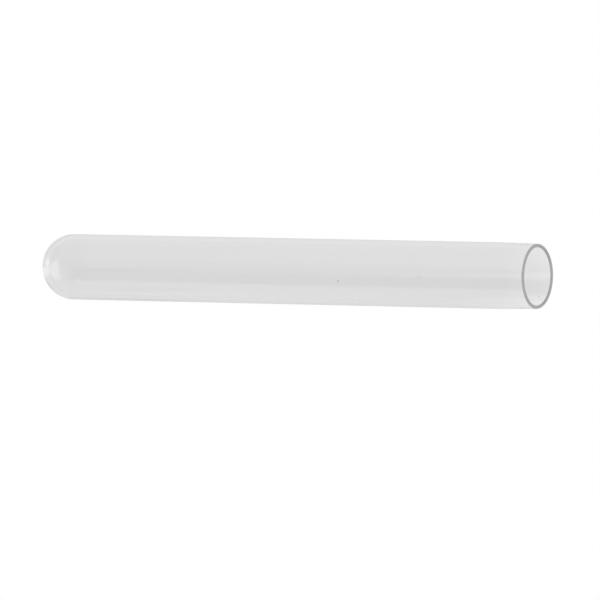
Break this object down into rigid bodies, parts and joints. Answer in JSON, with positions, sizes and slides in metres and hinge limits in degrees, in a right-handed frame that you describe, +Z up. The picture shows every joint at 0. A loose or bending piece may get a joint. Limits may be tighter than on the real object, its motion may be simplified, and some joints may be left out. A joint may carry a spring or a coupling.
{
  "type": "test tube",
  "caption": "Plain rimless laboratory test tube of clear glass: a long straight cylinder with a round closed bottom and an open fire-polished mouth.",
  "frame": {"origin": "on the surface that the tube lies on, straight under the middle of its length: the centre of the bottom of its box", "axes": "+X along the tube's axis, from the round bottom towards the open mouth; +Z up, with the tube lying on its side"},
  "size_m": [0.151, 0.0176, 0.0177],
  "materials": {
    "clear_glass": "polished, clear and colourless"
  },
  "bodies": {
    "root": {"tube": "clear_glass"}
  },
  "joints": []
}
